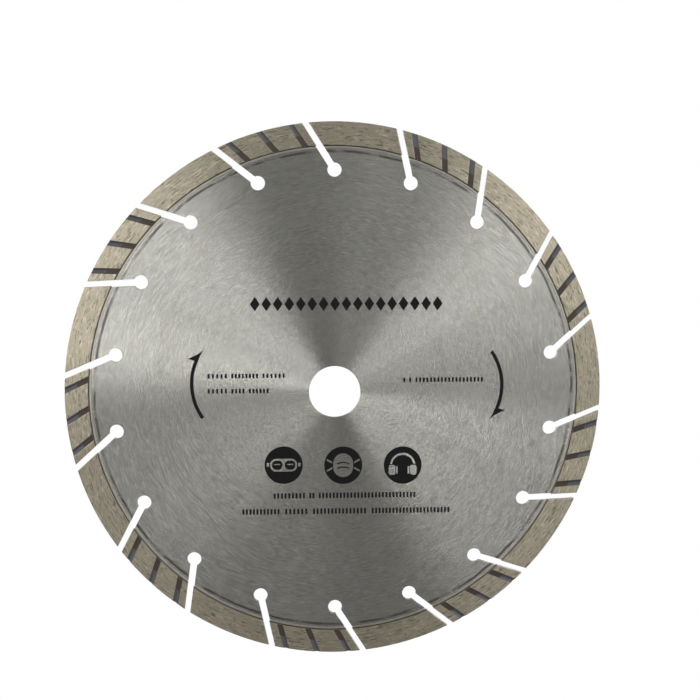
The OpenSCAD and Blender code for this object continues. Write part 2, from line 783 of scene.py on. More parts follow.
class OutlinePen:
    """Draws a closed outline in the blade's middle plane, one stretch after another."""

    FACING = Vector((0.0, -1.0, 0.0))
    MERGE_DISTANCE = 1e-7

    def __init__(self, mesh: bmesh.types.BMesh, start: Vector) -> None:
        """Puts the pen down.

        Args:
            mesh: The bmesh that is drawn in.
            start: The outline's first point.
        """
        self.mesh = mesh
        self.tip = mesh.verts.new(start)

    def line(self, end: Vector) -> None:
        """Draws a straight stretch to a point.

        Args:
            end: The point that it ends at.
        """
        drawn = bmesh.ops.extrude_vert_indiv(self.mesh, verts=[self.tip])
        self.tip = drawn["verts"][0]
        self.tip.co = end

    def arc(self, centre: Vector, turn: float, steps: int) -> None:
        """Draws an arc.

        Args:
            centre: The arc's centre.
            turn: The angle that it turns through, counter-clockwise.
            steps: How many edges it has.
        """
        drawn = bmesh.ops.spin(
            self.mesh, geom=[self.tip], cent=centre, axis=self.FACING, angle=turn, steps=steps
        )
        self.tip = next(item for item in drawn["geom_last"] if isinstance(item, bmesh.types.BMVert))

    def close(self) -> None:
        """Joins the outline's ends and fills it."""
        bmesh.ops.remove_doubles(self.mesh, verts=self.mesh.verts[:], dist=self.MERGE_DISTANCE)
        bmesh.ops.contextual_create(self.mesh, geom=self.mesh.edges[:])


@dataclass(frozen=True)
class CorePlate:
    """The tensioned steel disc: one pitch of it is drawn, turned round the bore and thickened."""

    plan: BladePlan
    edge_break: float = 0.05 * MM
    bore_break: float = 0.15 * MM
    bore_reach: float = 1.0 * MM
    merge_distance: float = 1e-6
    smooth_below: float = 0.99
    rim_steps: int = 40
    hole_steps: int = 44
    bore_steps: int = 12

    def build(self, dress: Dress) -> bpy.types.Object:
        """Builds the core.

        Args:
            dress: The core's finish, slot and body.

        Returns:
            The piece that replaces the CAD core.
        """
        mesh = bmesh.new()
        self._draw_pitch(mesh)
        turns = self.plan.count - 1
        bmesh.ops.spin(
            mesh,
            geom=mesh.faces[:],
            axis=OutlinePen.FACING,
            angle=turns * self.plan.pitch,
            steps=turns,
            use_duplicate=True,
        )
        bmesh.ops.remove_doubles(mesh, verts=mesh.verts[:], dist=self.merge_distance)
        self._thicken(mesh)
        self._break_edges(mesh)
        piece = dress.make_piece("core_plate", mesh, ["core"])
        for face in piece.data.polygons:
            face.use_smooth = abs(face.normal.y) < self.smooth_below
        return piece

    def _draw_pitch(self, mesh: bmesh.types.BMesh) -> None:
        """Draws one pitch of the disc: from slot 1 to slot 2, and from the bore to the rim.

        Args:
            mesh: The bmesh that is drawn in.
        """
        plan = self.plan
        first, second = plan.slot_line(1), plan.slot_line(2)
        half_slot = plan.slot_width / 2
        mouth = math.asin(half_slot / plan.keyhole_radius)
        lean = plan.slot_lean
        inner = plan.hole_ring - plan.keyhole_radius
        hole_in = polar(plan.hole_ring, first.start_angle)
        hole_out = polar(plan.hole_ring, second.start_angle)
        rim_start = first.angle_at(plan.core_radius, half_slot)
        rim_end = second.angle_at(plan.core_radius, -half_slot)
        mouth_out = hole_out + polar(plan.keyhole_radius, second.start_angle + lean - mouth)
        pen = OutlinePen(mesh, polar(plan.bore_radius, first.start_angle))
        pen.line(polar(inner, first.start_angle))
        pen.arc(hole_in, -(math.pi - lean - mouth), self.hole_steps)
        pen.line(polar(plan.core_radius, rim_start))
        pen.arc(Vector(), rim_end - rim_start, self.rim_steps)
        pen.line(mouth_out)
        pen.arc(hole_out, -(math.pi + lean - mouth), self.hole_steps)
        pen.line(polar(plan.bore_radius, second.start_angle))
        pen.arc(Vector(), -plan.pitch, self.bore_steps)
        pen.close()

    def _thicken(self, mesh: bmesh.types.BMesh) -> None:
        """Gives the flat disc its thickness, evenly to both sides.

        Args:
            mesh: The bmesh of the flat disc.
        """
        half = self.plan.core_half
        bmesh.ops.translate(mesh, verts=mesh.verts[:], vec=(0.0, half, 0.0))
        risen = bmesh.ops.extrude_face_region(mesh, geom=mesh.faces[:], use_keep_orig=True)
        verts = [item for item in risen["geom"] if isinstance(item, bmesh.types.BMVert)]
        bmesh.ops.translate(mesh, verts=verts, vec=(0.0, -2 * half, 0.0))
        bmesh.ops.recalc_face_normals(mesh, faces=mesh.faces[:])

    def _break_edges(self, mesh: bmesh.types.BMesh) -> None:
        """Bevels the bore's two edges, and more finely those of the rim and the slots.

        Args:
            mesh: The bmesh of the thick disc.
        """
        corners = [edge for edge in mesh.edges if len(edge.link_faces) == 2 and is_corner(edge)]
        limit = self.plan.bore_radius + self.bore_reach
        bore = [edge for edge in corners if edge.verts[0].co.length < limit]
        rest = [edge for edge in corners if edge.verts[0].co.length >= limit]
        for edges, size in ((bore, self.bore_break), (rest, self.edge_break)):
            bmesh.ops.bevel(
                mesh,
                geom=edges,
                offset=size,
                segments=2,
                profile=0.5,
                affect="EDGES",
                material=-1,
            )


def is_corner(edge: bmesh.types.BMEdge) -> bool:
    """Says whether an edge joins a flat face of the disc to one of its walls."""
    first, second = (abs(face.normal.y) for face in edge.link_faces)
    return (first > 0.9) != (second > 0.9)


# The rim's pieces: feet and segments


@dataclass(frozen=True)
class Column:
    """One line of mesh points that crosses the rim from the root outwards.

    Attributes:
        angle_at: Gives the line's angle at a radius.
        sunk: How much of a groove's depth the line lies at, from 0 on a land to 1 on the floor.
        across: The line's place across its groove, from -1 to 1, or 0 on a land.
        from_end: The line's distance from the nearer end of the piece.
    """

    angle_at: Callable[[float], float]
    sunk: float = 0.0
    across: float = 0.0
    from_end: float = 1.0


def between(low: float, high: float, spacing: float) -> list[float]:
    """Gives evenly spaced values inside a stretch, without its two ends."""
    steps = max(1, round(abs(high - low) / spacing))
    return [low + (high - low) * step / steps for step in range(1, steps)]


def edge_drop(distance: float, radius: float) -> float:
    """Gives how far a rounded edge has fallen away at a distance from it.

    Args:
        distance: How far in from the edge the point is.
        radius: The edge's radius.

    Returns:
        The fall there.
    """
    if distance >= radius:
        return 0.0
    return radius - math.sqrt(radius**2 - (radius - distance) ** 2)


def blend_lines(
    first: Callable[[float], float], second: Callable[[float], float], share: float
) -> Callable[[float], float]:
    """Gives the line that lies between two lines, a share of the way from the first."""
    return lambda radius: first(radius) * (1 - share) + second(radius) * share


@dataclass(frozen=True)
class Skin:
    """What the surface is like at one point of a rim piece.

    Attributes:
        height: How far it lies from the blade's middle plane.
        groove: How far down a groove it is, from 0 to 1.
        outer_floor: How far into a groove's deeper outer part it is, from 0 to 1.
        pit: How deep in a pore it is, from 0 to 1; the matrix darkens the pore by it as painted shade.
    """

    height: float
    groove: float = 0.0
    outer_floor: float = 0.0
    pit: float = 0.0


class RimPiece:
    """A closed strip of the rim, made from a front and a back sheet of points and the walls between."""

    NAME = ""
    STANDS_FOR = ""
    SPACING = 0.3 * MM
    EDGE_STEPS = (0.0, 0.3, 1.0)
    SHARP_ANGLE = math.radians(50.0)

    def __init__(self, plan: BladePlan, number: int) -> None:
        """Sets the piece's place.

        Args:
            plan: The blade's plan.
            number: The piece's number, counter-clockwise from the top.
        """
        self.plan = plan
        self.number = number
        self.edge_radius = 0.09 * MM
        self.wall_cuts = 4

    def columns(self) -> list[Column]:
        """Gives the piece's columns, in order, counter-clockwise."""
        raise NotImplementedError

    def radii(self) -> list[float]:
        """Gives the radii that every column is crossed at, from the root outwards."""
        raise NotImplementedError

    def skin(self, column: Column, radius: float, point: Vector, side: Side) -> Skin:
        """Gives what the surface is like at a point."""
        raise NotImplementedError

    def edge_steps(self) -> list[float]:
        """Gives the distances from an edge at which its rounded part is cut."""
        return [self.edge_radius * step for step in self.EDGE_STEPS]

    def edge_radii(self, low: float, high: float, spacing: float) -> list[float]:
        """Gives radii from one edge of the piece to the other, closer together at the edges.

        Args:
            low: The radius of the inner edge.
            high: The radius of the outer edge.
            spacing: How far apart the radii are between the edges.

        Returns:
            The radii, from the inner edge outwards.
        """
        inner = [low + step for step in self.edge_steps()]
        outer = [high - step for step in reversed(self.edge_steps())]
        return inner + between(inner[-1], outer[0], spacing) + outer

    def end_columns(self, slot: int, aside: float, inward: int) -> list[Column]:
        """Gives the columns of one end of the piece, where it is rounded.

        Args:
            slot: The number of the slot that the end lies along.
            aside: Where the end lies beside the slot's middle line, counter-clockwise.
            inward: 1 where the piece lies counter-clockwise of its end, or else -1.

        Returns:
            The columns, in order, counter-clockwise.
        """
        line = self.plan.slot_line(slot)
        return [
            Column(lambda radius, place=aside + inward * step: line.angle_at(radius, place), from_end=step)
            for step in self.edge_steps()[::inward]
        ]

    def columns_between(self, first: Column, last: Column, width: float) -> list[Column]:
        """Gives evenly spaced columns between two others that are a width apart.

        Args:
            first: The column before them.
            last: The column after them.
            width: How far apart those two are.

        Returns:
            The columns, in order, without those two.
        """
        shares = between(0.0, 1.0, self.SPACING / width)
        return [Column(blend_lines(first.angle_at, last.angle_at, share)) for share in shares]

    def build(self, dress: Dress) -> bpy.types.Object:
        """Builds the piece.

        Args:
            dress: The piece's finish, slot and body.

        Returns:
            The piece that replaces its CAD node.
        """
        number = f"{self.number:02d}"
        stands_for = [f"{self.STANDS_FOR}_{number}"]
        piece = dress.make_piece(f"{self.NAME}_{number}", self.build_mesh(), stands_for)
        piece.data.shade_smooth()
        piece.data.set_sharp_from_angle(angle=self.SHARP_ANGLE)
        return piece

    def build_mesh(self) -> bmesh.types.BMesh:
        """Builds the piece's closed mesh.

        Returns:
            The bmesh.
        """
        mesh = bmesh.new()
        layers = {name: mesh.verts.layers.float.new(name) for name in ("groove", "outer_floor", "pit")}
        columns, radii = self.columns(), self.radii()
        for side in Side:
            self._lay_sheet(mesh, columns, radii, side, layers)
        rims = [edge for edge in mesh.edges if edge.is_boundary]
        walls = bmesh.ops.bridge_loops(mesh, edges=rims)
        across = [edge for edge in walls["edges"] if spans_faces(edge)]
        cut = bmesh.ops.subdivide_edges(mesh, edges=across, cuts=self.wall_cuts, use_grid_fill=True)
        for vert in {item for item in cut["geom_inner"] if isinstance(item, bmesh.types.BMVert)}:
            self.roughen_wall(vert)
        bmesh.ops.recalc_face_normals(mesh, faces=mesh.faces[:])
        return mesh

    def _lay_sheet(
        self,
        mesh: bmesh.types.BMesh,
        columns: Sequence[Column],
        radii: Sequence[float],
        side: Side,
        layers: dict[str, bmesh.types.BMLayerItem],
    ) -> None:
        """Lays one face of the piece: a grid whose points are moved to columns and radii.

        Args:
            mesh: The bmesh that the sheet is added to.
            columns: The columns that the grid's first direction follows.
            radii: The radii that its second direction follows.
            side: The face of the blade that it lies on.
            layers: The numbers that each point carries.
        """
        last_column, last_radius = len(columns) - 1, len(radii) - 1
        made = bmesh.ops.create_grid(mesh, x_segments=last_column, y_segments=last_radius, size=1.0)
        for vert in made["verts"]:
            column = columns[round((vert.co.x + 1) / 2 * last_column)]
            radius = radii[round((vert.co.y + 1) / 2 * last_radius)]
            point = polar(radius, column.angle_at(radius))
            skin = self.skin(column, radius, point, side)
            vert.co = point + Vector((0.0, side.value * skin.height, 0.0))
            vert[layers["groove"]] = skin.groove
            vert[layers["outer_floor"]] = skin.outer_floor
            vert[layers["pit"]] = skin.pit

    def roughen_wall(self, vert: bmesh.types.BMVert) -> None:
        """Moves a point of the walls a little inwards. A plain piece's walls stay as they are."""


def uneven(point: Vector, grain: float, side: Side) -> float:
    """Gives a rough noise from 0 to 1 at a point, with bumps about as wide as the grain.

    Args:
        point: The point.
        grain: The width of the noise's bumps.
        side: The face that it is on, because the two differ.

    Returns:
        The noise.
    """
    face_shift = 7.3 * side.value
    smoothness, octave_ratio, octaves = 0.8, 2.1, 3
    rough = noise.fractal(point / grain + Vector((0.0, face_shift, 0.0)), smoothness, octave_ratio, octaves)
    return min(1.0, max(0.0, rough * 0.45 + 0.5))


def spans_faces(edge: bmesh.types.BMEdge) -> bool:
    """Says whether an edge runs from the front of the blade to its back."""
    first, second = (vert.co.y for vert in edge.verts)
    return first * second < 0


class WeldFoot(RimPiece):
    """The welded foot under a segment: a low bead, with a crevice along the segment."""

    NAME = "foot_strip"
    STANDS_FOR = "weld_foot"
    RADIAL_SPACING = 0.16 * MM
    CREVICE_WIDTH = 0.3 * MM
    CREVICE_DEPTH = 0.32 * MM
    RIPPLE = 0.035 * MM
    RIPPLE_WIDTH = 0.9 * MM

    def columns(self) -> list[Column]:
        """Gives columns that run between the two slots.

        Returns:
            The columns, in order, counter-clockwise.
        """
        half_slot = self.plan.slot_width / 2
        first = self.end_columns(self.number, half_slot, 1)
        last = self.end_columns(self.number + 1, -half_slot, -1)
        length = self.plan.pitch * self.plan.root_radius - self.plan.slot_width
        return first + self.columns_between(first[-1], last[0], length) + last

    def radii(self) -> list[float]:
        """Gives radii from the core to the segment."""
        return self.edge_radii(self.plan.core_radius, self.plan.root_radius, self.RADIAL_SPACING)

    def skin(self, column: Column, radius: float, point: Vector, side: Side) -> Skin:
        """Gives the bead's height: ripples along it, and a crevice at its outer edge.

        Args:
            column: The column that the point is on.
            radius: Its radius.
            point: Its place in the blade's middle plane.
            side: The face that it is on.

        Returns:
            The surface there.
        """
        outer = self.plan.root_radius - radius
        ripple = uneven(point, self.RIPPLE_WIDTH, side)
        crevice = max(0.0, 1.0 - outer / self.CREVICE_WIDTH) ** 0.5
        fall = edge_drop(min(column.from_end, radius - self.plan.core_radius), self.edge_radius)
        return Skin(self.plan.foot_half - self.RIPPLE * ripple - max(fall, self.CREVICE_DEPTH * crevice))


@dataclass(frozen=True)
class Pit:
    """One small pore in a segment's face, longer along the blade's turn than across it."""

    angle: float
    radius: float
    size: float
    depth: float
    stretch: float

    def depth_at(self, radius: float, angle: float) -> float:
        """Gives how much of the pit's depth there is at a point, from 0 to 1.

        Args:
            radius: The point's radius.
            angle: Its angle round the blade.

        Returns:
            The share.
        """
        along = (angle - self.angle) * self.radius / self.stretch
        distance = math.hypot(along, radius - self.radius) / self.size
        return max(0.0, 1.0 - distance**2)


class DiamondSegment(RimPiece):
    """A sintered segment: three leaning grooves in one face, a rough skin, pores and worn edges."""

    NAME = "rim_segment"
    STANDS_FOR = "diamond_segment"
    SPACING = 0.27 * MM
    WALL = ((-0.16, 0.0), (-0.06, 0.06), (0.03, 0.75), (0.12, 1.0))
    FLOOR_SPACING = 0.3 * MM
    STEP_RUN = 0.5 * MM
    GRAIN = 0.035 * MM
    GRAIN_WIDTH = 0.55 * MM
    EDGE_GRAIN = 2.2 * GRAIN
    EDGE_GRAIN_WIDTH = 0.5 * MM
    WEAR_WIDTH = 1.7 * MM
    CHIP = 0.06 * MM
    PITS = 26

    def __init__(self, plan: BladePlan, number: int) -> None:
        """Sets the segment's place, its grooved face and its pores.

        Args:
            plan: The blade's plan.
            number: The segment's number, counter-clockwise from the top.
        """
        super().__init__(plan, number)
        self.edge_radius = 0.12 * MM
        self.wall_cuts = 8
        self.grooved = Side.FRONT if number % 2 else Side.BACK
        self.pits = {side: self._scatter_pits(number * 2 + side.value) for side in Side}

    def _scatter_pits(self, seed: int) -> list[Pit]:
        """Scatters pores over one face.

        Args:
            seed: The seed of the random draws.

        Returns:
            The pores.
        """
        draw = random.Random(seed)
        start = self.plan.slot_line(self.number).angle_at(self.plan.root_radius)
        return [
            Pit(
                angle=start + self.plan.pitch * draw.uniform(0.0, 1.15),
                radius=draw.uniform(self.plan.root_radius, self.plan.rim_radius),
                size=draw.uniform(0.16, 0.36) * MM,
                depth=draw.uniform(0.05, 0.12) * MM,
                stretch=draw.uniform(1.2, 3.6),
            )
            for _ in range(self.PITS)
        ]

    def columns(self) -> list[Column]:
        """Gives the columns: rounded ends, lands, and each groove's two walls and floor.

        Returns:
            The columns, in order, counter-clockwise.
        """
        plan = self.plan
        shift = (plan.rim_gap - plan.slot_width) / 2
        grooves = [plan.groove_line(self.number, place) for place in range(plan.groove_count)]
        groups = [self._groove_columns(line) for line in grooves]
        groups.append(self.end_columns(self.number + 1, shift - plan.rim_gap / 2, -1))
        columns = self.end_columns(self.number, shift + plan.rim_gap / 2, 1)
        for group in groups:
            columns += self._land_columns(columns[-1], group[0]) + group
        return columns

    def _groove_columns(self, line: LeaningLine) -> list[Column]:
        """Gives the columns of one groove: down one wall, over the floor and up the other wall.

        Args:
            line: The groove's middle line.

        Returns:
            The columns, in order, counter-clockwise.
        """
        half = self.plan.groove_width / 2
        falling = [(-half + out * MM, sunk) for out, sunk in self.WALL]
        rising = [(-aside, sunk) for aside, sunk in reversed(falling)]
        floor = [(aside, 1.0) for aside in between(falling[-1][0], rising[0][0], self.FLOOR_SPACING)]
        return [
            Column(lambda radius, aside=aside: line.angle_at(radius, aside), sunk, aside / half)
            for aside, sunk in falling + floor + rising
        ]

    def _land_columns(self, first: Column, second: Column) -> list[Column]:
        """Gives evenly spaced columns between two others.

        Args:
            first: The column before them.
            second: The column after them.

        Returns:
            The columns, in order, without those two.
        """
        middle = (self.plan.root_radius + self.plan.rim_radius) / 2
        width = (second.angle_at(middle) - first.angle_at(middle)) * middle
        return self.columns_between(first, second, width)

    def radii(self) -> list[float]:
        """Gives radii from the foot to the cutting edge."""
        return self.edge_radii(self.plan.root_radius, self.plan.rim_radius, self.SPACING)

    def _outer_floor(self, radius: float) -> float:
        """Gives how far into a groove's deeper outer part a radius is, from 0 to 1.

        Args:
            radius: The radius.

        Returns:
            The share.
        """
        start = self.plan.root_radius + self.plan.groove_step_height
        share = min(1.0, max(0.0, (radius - start) / self.STEP_RUN))
        return share * share * (3 - 2 * share)

    def _pit_at(self, radius: float, angle: float, side: Side) -> tuple[float, float]:
        """Gives the share and the depth of the deepest pore at a point.

        Args:
            radius: The point's radius.
            angle: Its angle round the blade.
            side: The face that it is on.

        Returns:
            The share, from 0 to 1, and the depth at a share of 1.
        """
        shares = [(pit.depth_at(radius, angle), pit.depth) for pit in self.pits[side]]
        return max(shares, key=lambda pair: pair[0] * pair[1])

    def skin(self, column: Column, radius: float, point: Vector, side: Side) -> Skin:
        """Gives the worn edges, the grooves, the grain and the pores.

        Args:
            column: The column that the point is on.
            radius: Its radius.
            point: Its place in the blade's middle plane.
            side: The face that it is on.

        Returns:
            The surface there.
        """
        plan = self.plan
        grain = uneven(point, self.GRAIN_WIDTH, side)
        wear = uneven(point, self.WEAR_WIDTH, side)
        edge = min(column.from_end, radius - plan.root_radius, plan.rim_radius - radius)
        fall = edge_drop(edge, self.edge_radius) * (0.6 + wear)
        sunk = column.sunk if side is self.grooved else 0.0
        lip = sunk * (1 - sunk) * 4
        outer = self._outer_floor(radius)
        scoop = max(0.0, 1.0 - column.across**2) if sunk else 0.0
        depth = sunk * plan.groove_inner_depth * (1 - outer) + scoop * plan.groove_outer_depth * outer
        share, pit_depth = self._pit_at(radius, column.angle_at(radius), side)
        pore = share * pit_depth * (1 - sunk)
        chip = lip * wear * self.CHIP
        height = plan.segment_half - fall - depth - chip - self.GRAIN * grain - pore
        return Skin(height, min(1.0, sunk * 8.0), outer if sunk else 0.0, min(1.0, share * 1.6))

    def roughen_wall(self, vert: bmesh.types.BMVert) -> None:
        """Roughens the cutting edge, inwards only.

        Args:
            vert: The point, which stays in place if it isn't on the cutting edge.
        """
        outward = Vector((vert.co.x, 0.0, vert.co.z))
        if outward.length < self.plan.rim_radius - self.edge_radius:
            return
        grain = uneven(vert.co, self.EDGE_GRAIN_WIDTH, Side.FRONT)
        vert.co -= outward.normalized() * (grain * self.EDGE_GRAIN)


# The print


def arc_points(centre: Place, radius: float, start: float, end: float, steps: int) -> Outline:
    """Gives points along an arc, both ends included. Angles are in degrees, lengths in millimetres.

    Args:
        centre: The arc's centre.
        radius: Its radius.
        start: The angle of its first point.
        end: The angle of its last point.
        steps: How many edges it has.

    Returns:
        The points.
    """
    turns = [math.radians(start + (end - start) * step / steps) for step in range(steps + 1)]
    return [(centre[0] + radius * math.cos(a), centre[1] + radius * math.sin(a)) for a in turns]


def ring_points(centre: Place, radius: float, steps: int = 96) -> Outline:
    """Gives the points of a full circle."""
    return arc_points(centre, radius, 0.0, 360.0, steps)[:-1]


def rounded_bar(centre: Place, width: float, height: float, corner: float) -> Outline:
    """Gives a rectangle with round corners.

    Args:
        centre: The bar's middle.
        width: Its width.
        height: Its height.
        corner: Its corners' radius.

    Returns:
        The outline.
    """
    half_width, half_height = width / 2 - corner, height / 2 - corner
    corners = ((1, 1, 0), (-1, 1, 90), (-1, -1, 180), (1, -1, 270))
    points: Outline = []
    for across, up, start in corners:
        middle = (centre[0] + across * half_width, centre[1] + up * half_height)
        points += arc_points(middle, corner, start, start + 90.0, 8)
    return points


def bent_bar(
    centre: Place, radius: float, width: float, start: float, end: float, steps: int = 48
) -> Outline:
    """Gives a bar of even width that is bent along an arc.

    Args:
        centre: The centre of the bend.
        radius: The bar's own middle radius.
        width: Its width.
        start: The angle of its first end, in degrees.
        end: The angle of its other end, in degrees.
        steps: How many edges its arcs have.

    Returns:
        The outline.
    """
    outer = arc_points(centre, radius + width / 2, start, end, steps)
    inner = arc_points(centre, radius - width / 2, end, start, steps)
    return outer + inner


class PrintedShape:
    """A flat film of ink. An outline that lies inside another one cuts a hole in it."""

    FILM = 0.02 * MM
    RAISED = 0.3 * FILM

    def __init__(self, name: str, plan: BladePlan) -> None:
        """Starts an empty shape.

        Args:
            name: The piece's name.
            plan: The blade's plan, which gives the face that is printed on.
        """
        self.name = name
        self.plan = plan
        self.curve = bpy.data.curves.new(name, "CURVE")
        self.curve.dimensions = "2D"
        self.curve.fill_mode = "BOTH"
        self.curve.extrude = self.FILM / 2

    def add(self, outline: Outline) -> "PrintedShape":
        """Adds one closed outline, in millimetres, X to the right and Z up.

        Args:
            outline: The outline's points.

        Returns:
            The shape itself, so that calls can follow one another.
        """
        spline = self.curve.splines.new("POLY")
        spline.points.add(len(outline) - 1)
        for point, (across, up) in zip(spline.points, outline):
            point.co = (across * MM, up * MM, 0.0, 1.0)
        spline.use_cyclic_u = True
        return self

    def print_on(self, dress: Dress) -> bpy.types.Object:
        """Makes the shape a mesh and lays it on the front of the core.

        Args:
            dress: The ink.

        Returns:
            The printed piece.
        """
        drawn = bpy.data.objects.new(self.name + "_outline", self.curve)
        bpy.context.scene.collection.objects.link(drawn)
        data = bpy.data.meshes.new_from_object(drawn)
        bpy.data.objects.remove(drawn)
        depth = -self.plan.core_half - self.RAISED
        place = Matrix.Translation((0.0, depth, 0.0)) @ Matrix.Rotation(math.radians(90.0), 4, "X")
        data.transform(place)
        data.name = self.name
        return dress.dress(self.name, data)


@dataclass(frozen=True)
class RotationArrow:
    """A bent arrow with a one-sided barb, which shows the way the blade turns."""

    name: str
    centre: Place
    turned: float
    radius: float = 25.6
    width: float = 1.5
    tail: float = 215.0
    neck_outer: float = 157.5
    neck_inner: float = 155.5
    barb: tuple[Place, ...] = (
        (-27.15, 10.9), (-24.2, 12.3), (-22.3, 13.2), (-20.4, 14.85), (-21.4, 13.1), (-22.2, 11.3)
    )

    def print_on(self, plan: BladePlan, dress: Dress) -> bpy.types.Object:
        """Prints the arrow.

        Args:
            plan: The blade's plan.
            dress: The ink.

        Returns:
            The printed piece.
        """
        outer, inner = self.radius + self.width / 2, self.radius - self.width / 2
        points = arc_points((0.0, 0.0), outer, self.tail, self.neck_outer, 40)
        points += self.barb
        points += arc_points((0.0, 0.0), inner, self.neck_inner, self.tail, 40)
        turn = math.radians(self.turned)
        cos, sin = math.cos(turn), math.sin(turn)
        placed = [
            (self.centre[0] + x * cos - y * sin, self.centre[1] + x * sin + y * cos) for x, y in points
        ]
        return PrintedShape(self.name, plan).add(placed).print_on(dress)


class Emblem(Enum):
    """What is left bare in a safety disc."""

    GOGGLES = "goggles"
    DUST_MASK = "dust_mask"
    EAR_DEFENDERS = "ear_defenders"


@dataclass(frozen=True)
class SafetyDisc:
    """A round black disc that leaves one plain piece of safety gear bare."""

    emblem: Emblem
    centre: Place
    radius: float = 8.2

    def print_on(self, plan: BladePlan, dress: Dress) -> bpy.types.Object:
        """Prints the disc.

        Args:
            plan: The blade's plan.
            dress: The ink.

        Returns:
            The printed piece.
        """
        shape = PrintedShape("print_disc_" + self.emblem.value, plan)
        shape.add(ring_points(self.centre, self.radius))
        draw = {
            Emblem.GOGGLES: self._goggles,
            Emblem.DUST_MASK: self._dust_mask,
            Emblem.EAR_DEFENDERS: self._ear_defenders,
        }[self.emblem]
        for outline in draw():
            shape.add([(self.centre[0] + across, self.centre[1] + up) for across, up in outline])
        return shape.print_on(dress)

    @staticmethod
    def _goggles() -> list[Outline]:
        """Gives a goggle frame with two lenses and two stubs of strap.

        Returns:
            The outlines.
        """
        outlines = [rounded_bar((0.0, 0.0), 11.6, 5.6, 2.5)]
        outlines += [rounded_bar((side * 2.75, 0.0), 4.5, 4.0, 1.8) for side in (-1, 1)]
        outlines += [rounded_bar((side * 6.75, 0.2), 1.1, 1.7, 0.3) for side in (-1, 1)]
        outlines += [rounded_bar((side * 2.9, 0.3), 2.6, 0.5, 0.2) for side in (-1, 1)]
        return outlines

    @staticmethod
    def _dust_mask() -> list[Outline]:
        """Gives a cup mask with two pleats and four stubs of strap.

        Returns:
            The outlines.
        """
        cup = arc_points((0.0, 0.9), 4.3, 0.0, 180.0, 30) + arc_points((0.0, -0.9), 4.3, 180.0, 360.0, 30)
        outlines = [cup]
        outlines += [bent_bar((0.0, height - 5.0), 5.6, 0.5, 62.0, 118.0, 20) for height in (0.6, -1.4)]
        for side in (-1, 1):
            for up in (-1, 1):
                stub = [(4.7, up * 0.7), (4.7, up * 1.6), (7.0, up * 2.9), (7.3, up * 2.1)]
                outlines.append([(side * across, height) for across, height in stub])
        return outlines

    @staticmethod
    def _ear_defenders() -> list[Outline]:
        """Gives a headband and two ear cups.

        Returns:
            The outlines.
        """
        outlines = [bent_bar((0.0, -0.2), 5.1, 0.9, 8.0, 172.0, 40)]
        outlines += [rounded_bar((side * 4.6, -2.1), 3.0, 4.4, 1.1) for side in (-1, 1)]
        outlines += [rounded_bar((side * 2.5, -2.1), 0.6, 3.4, 0.25) for side in (-1, 1)]
        return outlines


@dataclass(frozen=True)
class LozengeBand:
    """A row of lozenges where the title would be."""

    left: float = -36.5
    right: float = 46.6
    middle: float = 37.9
    height: float = 6.2
    count: int = 17

    def print_on(self, plan: BladePlan, dress: Dress) -> bpy.types.Object:
        """Prints the band.

        Args:
            plan: The blade's plan.
            dress: The ink.

        Returns:
            The printed piece.
        """
        shape = PrintedShape("print_title_band", plan)
        pitch = (self.right - self.left) / self.count
        for place in range(self.count):
            across = self.left + pitch * (place + 0.5)
            tall, wide = self.height / 2, pitch * 0.43
            shape.add(
                [
                    (across - wide, self.middle),
                    (across, self.middle - tall),
                    (across + wide, self.middle),
                    (across, self.middle + tall),
                ]
            )
        return shape.print_on(dress)


@dataclass(frozen=True)
class BarRow:
    """Groups of plain upright bars, as long as words are, where a line of small print would be."""

    name: str
    left: float
    middle: float
    lengths: tuple[float, ...]
    height: float = 2.0
    gap: float = 1.9
    bar_pitch: float = 1.5
    bar_width: float = 0.85

    def print_on(self, plan: BladePlan, dress: Dress) -> bpy.types.Object:
        """Prints the row.

        Args:
            plan: The blade's plan.
            dress: The ink.

        Returns:
            The printed piece.
        """
        shape = PrintedShape(self.name, plan)
        start = self.left
        for length in self.lengths:
            count = max(2, round(length / self.bar_pitch))
            step = (length - self.bar_width) / (count - 1)
            for place in range(count):
                middle = (start + self.bar_width / 2 + place * step, self.middle)
                shape.add(rounded_bar(middle, self.bar_width, self.height, self.bar_width * 0.3))
            start += length + self.gap
        return shape.print_on(dress)


PRINT = (
    LozengeBand(),
    RotationArrow("print_arrow_left", (-35.6, 3.7), 0.0),
    RotationArrow("print_arrow_right", (46.7, 2.3), 180.0),
    BarRow("print_bars_speed", -54.4, 7.1, (8.2, 11.4, 9.5)),
    BarRow("print_bars_rim_speed", -54.4, 0.6, (8.2, 5.6, 8.4)),
    BarRow("print_bars_size", 29.5, 4.9, (3.4, 29.2)),
    SafetyDisc(Emblem.GOGGLES, (-22.1, -31.8)),
    SafetyDisc(Emblem.DUST_MASK, (3.6, -32.1)),
    SafetyDisc(Emblem.EAR_DEFENDERS, (29.4, -32.3)),
    BarRow("print_bars_use", -26.5, -45.3, (13.5, 2.2, 42.0), 2.4),
    BarRow("print_bars_limits", -40.0, -52.2, (16.0, 9.5, 23.0, 33.9), 2.4, 2.5),
)
"""Everything that is printed on the front, in millimetres from the bore."""


# The studio


